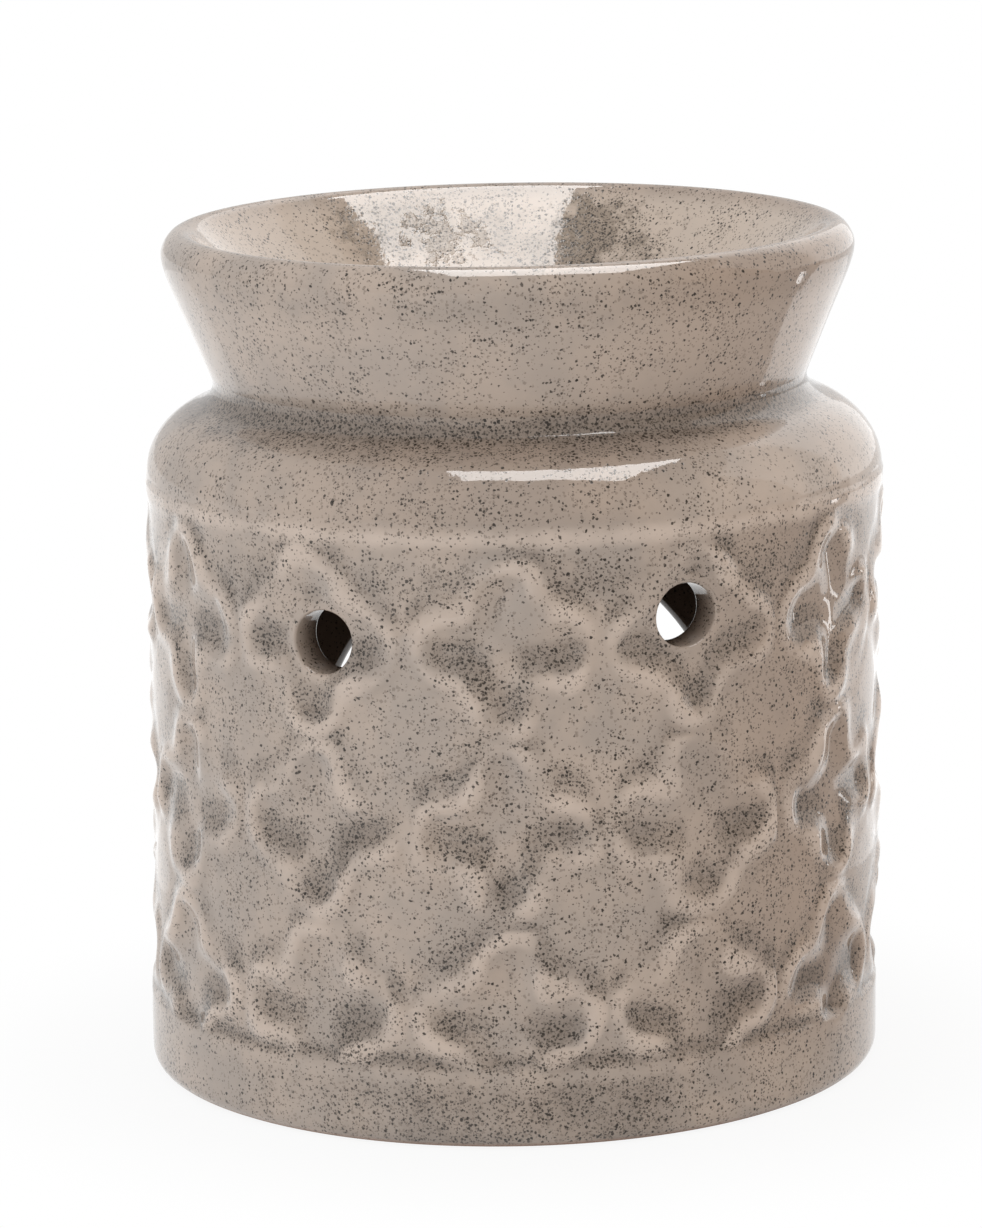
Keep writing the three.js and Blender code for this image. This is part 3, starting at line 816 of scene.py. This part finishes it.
def cottonMaterial():
    material, wires, coords = startMaterial("waxedCotton")
    strung = wires.node("Mapping", {}, {"Vector": coords, "Scale": (1.0, 1.0, 0.2)})
    fibres = wires.noise(strung, 6000, 3)
    soak = wires.noise(coords, 700, 2)
    colour = (fibres * 0.5 + soak * 0.5).ramp(0.3, 0.7).mix(cotton["waxed"], cotton["pale"])
    rough = 0.7 + fibres * 0.2
    normal = wires.node("Bump", {}, {"Strength": 0.5, "Distance": 0.0001, "Height": fibres})
    closeMaterial(wires, {"Base Color": colour, "Roughness": rough, "Normal": normal})
    return material


def buildWick():
    k = cotton
    profile = np.concatenate([
        [(onAxis, k["foot"]), (0.2, k["foot"])],
        fill(np.array([(k["core"], k["foot"]), (k["core"], k["tip"] - 0.3)]), 0.14),
        [(k["core"] * 0.8, k["tip"] - 0.1), (0.2, k["tip"]), (onAxis, k["tip"])],
    ])
    wick = turnedPiece("braidedWick", profile, k["sides"], False, braid)
    closeEnds(wick)
    for vertex in wick.data.vertices:
        past = max(vertex.co.z / mm - k["leanFrom"], 0) / (k["tip"] - k["leanFrom"])
        vertex.co.x += k["lean"] * mm * past * past
    settle(wick, cottonMaterial(), "candle", "wick")


buildWax()
buildSustainer()
buildWick()


# Wax melt: a tapered disc with the slightly sunken top of wax that has set in a mould
melt = {
    "floor": 94.3, "top": 105.3, "foot": 17.5, "radius": 20.0, "rounding": 1.6, "sunk": 0.7,
    "swell": 0.1, "swellWaves": (5, 0.5), "sides": 192, "sharpAngle": 60, "seed": 33,
    "cream": (0.84, 0.73, 0.53), "butter": (0.88, 0.79, 0.62),
}


def meltProfile():
    m = melt
    low, high, sunk = m["floor"] + m["rounding"], m["top"] - m["rounding"], m["top"] - m["sunk"]
    return np.concatenate([
        fill(np.array([(onAxis, m["floor"]), (m["foot"] - m["rounding"], m["floor"])]), 3.0),
        bend((m["foot"] - m["rounding"], m["floor"]), (m["foot"], m["floor"]), (m["foot"], low), 6)[1:],
        fill(np.array([(m["foot"], low), (m["radius"], high)]), 0.8)[1:],
        bend((m["radius"], high), (m["radius"], m["top"]), (m["radius"] - m["rounding"], m["top"]), 8)[1:],
        bend((m["radius"] - 2.4, m["top"] - 0.05), (12, sunk), (onAxis, sunk), 14),
    ])


def setWax(radius, height, turn):
    onTop = ease(melt["top"] - 1.2, melt["top"] - 0.6, height)
    onTop = onTop * ease(melt["radius"] - 1, melt["radius"] - 5, radius)
    waves = slowWaves(turn, radius, melt["seed"], *melt["swellWaves"])
    return radius, height + melt["swell"] * onTop * ease(0, 4, radius) * waves


def buildMelt():
    disc = turnedPiece("scentedMelt", meltProfile(), melt["sides"], False, setWax)
    closeEnds(disc)
    disc.data.set_sharp_from_angle(angle=math.radians(melt["sharpAngle"]))
    material = waxMaterial("scentedWax", melt["cream"], melt["butter"], 0.5)
    settle(disc, material, "melt", "wax_melt")


buildMelt()


# Light, floor and camera
studio = {
    "cameraAt": (0.0199, -0.7130, 0.2064), "cameraAim": (0.0, 0.0, 0.05726), "lens": 156.3, "sensor": 36,
    "roll": -1.02, "imageSize": (982, 1228), "centreAt": (513.9, 639.3),
    "overhead": {"at": (0.135, 0.05, 1.0), "size": (0.63, 0.75), "power": 10.1, "fill": 2.8},
    "softbox": {"turn": 132.0, "from": 1.1, "height": 0.55, "size": (1.8, 1.3), "power": 4.4},
    "strip": {"turn": 113.0, "from": 0.27, "length": 0.17, "width": 0.02, "power": 0.04},
    "cards": (((0.123, 0.038), 128.0, 0.18), ((-0.111, 0.055), -139.0, 0.1)), "cardSize": (0.45, 0.3),
    "offFloor": 0.002, "ambient": 0.53, "fill": 0.4, "sideShare": 0.15,
    "coolSide": (0.94, 0.975, 1.0), "warmSide": (1.0, 0.94, 0.87), "tintReach": (-0.5, 0.9),
    "backdropTurn": 58.0, "backdropEdge": 0.05, "leftBackdrop": 0.65, "leftReach": (-0.1, 0.3),
    "floorReach": 3000, "floorColour": (0.86, 0.86, 0.86), "floorTone": 0.45, "toneReach": (-0.15, 0.08),
    "cardSoftness": 0.008, "shadowShare": 0.1, "shadowReach": (0.052, 0.09),
}


def addLamp(name, at, size, power, rotation):
    light = bpy.data.lights.new(name, "AREA")
    light.shape = "RECTANGLE"
    light.size, light.size_y = size
    light.energy = power
    lamp = bpy.data.objects.new(name, light)
    lamp.location = at
    lamp.rotation_euler = rotation
    bpy.context.scene.collection.objects.link(lamp)
    return lamp


# The large light above shows in the gloss, and a softer one in its place lights the colours.
def addOverhead(place):
    mirrored = addLamp("overhead", place["at"], place["size"], place["power"], (0, 0, 0))
    mirrored.visible_diffuse = False
    soft = addLamp("overheadFill", place["at"], place["size"], place["fill"], (0, 0, 0))
    soft.visible_glossy = False


# A thin light that lies on the floor and points at the axis.
def addStrip(place):
    turn = math.radians(place["turn"])
    middle = place["from"] + place["length"] / 2
    at = (middle * math.sin(turn), -middle * math.cos(turn), studio["offFloor"])
    addLamp("strip", at, (place["width"], place["length"]), place["power"], (math.pi, 0, turn))


# A panel behind on the right that shows only in the gloss.
def addSoftbox(place):
    turn = math.radians(place["turn"])
    at = (place["from"] * math.sin(turn), -place["from"] * math.cos(turn), place["height"])
    tilt = math.atan2(place["height"], place["from"])
    panel = addLamp("softbox", at, place["size"], place["power"], (math.pi / 2 - tilt, 0, turn))
    panel.visible_diffuse = False


# Along a card's edge, and square to it towards the back.
def cardEdge(turn):
    along = Vector((math.sin(math.radians(turn)), -math.cos(math.radians(turn)), 0))
    return along, Vector((-along.y, along.x, 0)) * math.copysign(1, turn)


# White cards on the floor, seen only in the gloss.
def addCards():
    length, width = studio["cardSize"]
    for number, (corner, turn, power) in enumerate(studio["cards"]):
        along, across = cardEdge(turn)
        at = Vector((*corner, studio["offFloor"])) + along * (length / 2) + across * (width / 2)
        spin = math.atan2(along.y, along.x)
        card = addLamp(f"card{number}", at, (length, width), power, (math.pi, 0, spin))
        card.visible_diffuse = False


def addWorld():
    world = bpy.data.worlds.new("whiteRoom")
    bpy.context.scene.world = world
    world.use_nodes = True
    world.node_tree.nodes.clear()
    wires = Wire(world.node_tree)
    seen = wires.node("LightPath", {}, {}, "Is Camera Ray")
    white = seen + seen.other("Is Transmission Ray")
    mirrored = seen.other("Is Glossy Ray")
    facing = wires.node("TexCoord", {}, {}, "Generated")
    side = wires.node("SeparateXYZ", {}, {"Vector": facing}, "X")
    edge, soft = math.cos(math.radians(studio["backdropTurn"])), studio["backdropEdge"]
    behind = mirrored * side.other("Y").ramp(edge - soft, edge + soft)
    left = studio["leftBackdrop"]
    backdrop = left + side.ramp(*studio["leftReach"]) * (1 - left)
    room = studio["ambient"] - side * studio["sideShare"] + (1 - mirrored) * studio["fill"]
    strength = room + white * (1 - room) + behind * (backdrop - room)
    tint = side.ramp(*studio["tintReach"]).mix(studio["coolSide"], studio["warmSide"])
    tint = (white + behind).ramp(0, 1).mix(tint, (1, 1, 1))
    sky = wires.node("Background", {}, {"Color": tint, "Strength": strength})
    wires.node("OutputWorld", {}, {"Surface": sky})


def addFloor():
    reach = studio["floorReach"]
    points = [(-reach, -reach, 0), (reach, -reach, 0), (reach, reach, 0), (-reach, reach, 0)]
    floor = makeMesh("paleFloor", points, [(0, 1, 2, 3)])
    material = bpy.data.materials.new("paleFloor")
    material.use_nodes = True
    material.node_tree.nodes.clear()
    wires = Wire(material.node_tree)
    seen = wires.node("LightPath", {}, {}, "Is Camera Ray")
    mirrored = seen.other("Is Glossy Ray") + seen.other("Is Transmission Ray")
    place = wires.node("TexCoord", {}, {}, "Object")
    across = wires.node("SeparateXYZ", {}, {"Vector": place}, "X")
    away = wires.node("VectorMath", {"operation": "LENGTH"}, {0: place}, "Value")
    away = away.ramp(*studio["shadowReach"])
    corner, turn = studio["cards"][0][:2]
    edge = cardEdge(turn)[1]
    past = (across - corner[0]) * edge.x + (across.other("Y") - corner[1]) * edge.y
    behind = past.ramp(-studio["cardSoftness"], studio["cardSoftness"])
    bright = 1 - (1 - behind) * across.ramp(*studio["toneReach"])
    tone = studio["floorTone"] + bright * (1 - studio["floorTone"])
    matte = wires.node("BsdfDiffuse", {}, {"Color": studio["floorColour"]})
    glow = wires.node("Emission", {}, {"Color": (1, 1, 1), "Strength": seen + mirrored * tone})
    shadow = studio["shadowShare"]
    share = seen * ((1 - shadow) + away * shadow) + mirrored
    blend = wires.node("MixShader", {}, {0: share, 1: matte, 2: glow})
    wires.node("OutputMaterial", {}, {"Surface": blend})
    floor.data.materials.append(material)


def addCamera():
    data = bpy.data.cameras.new("photoCamera")
    data.sensor_fit = "VERTICAL"
    data.sensor_height = studio["sensor"]
    data.lens = studio["lens"]
    camera = bpy.data.objects.new("photoCamera", data)
    width, height = studio["imageSize"]
    pixelsPerTan = studio["lens"] / data.sensor_height * height
    look = Vector(studio["cameraAim"]) - Vector(studio["cameraAt"])
    roll = Matrix.Rotation(math.radians(studio["roll"]), 4, "Z")
    turn = look.to_track_quat("-Z", "Y").to_matrix().to_4x4() @ roll
    offAcross = math.atan((studio["centreAt"][0] - width / 2) / pixelsPerTan)
    offDown = math.atan((studio["centreAt"][1] - height / 2) / pixelsPerTan)
    turn = turn @ Matrix.Rotation(offAcross, 4, "Y") @ Matrix.Rotation(offDown, 4, "X")
    camera.matrix_world = Matrix.Translation(studio["cameraAt"]) @ turn
    bpy.context.scene.collection.objects.link(camera)
    bpy.context.scene.camera = camera


addOverhead(studio["overhead"])
addStrip(studio["strip"])
addSoftbox(studio["softbox"])
addCards()
addWorld()
addFloor()
addCamera()
bpy.context.scene.view_settings.view_transform = "Standard"
print("studio set")
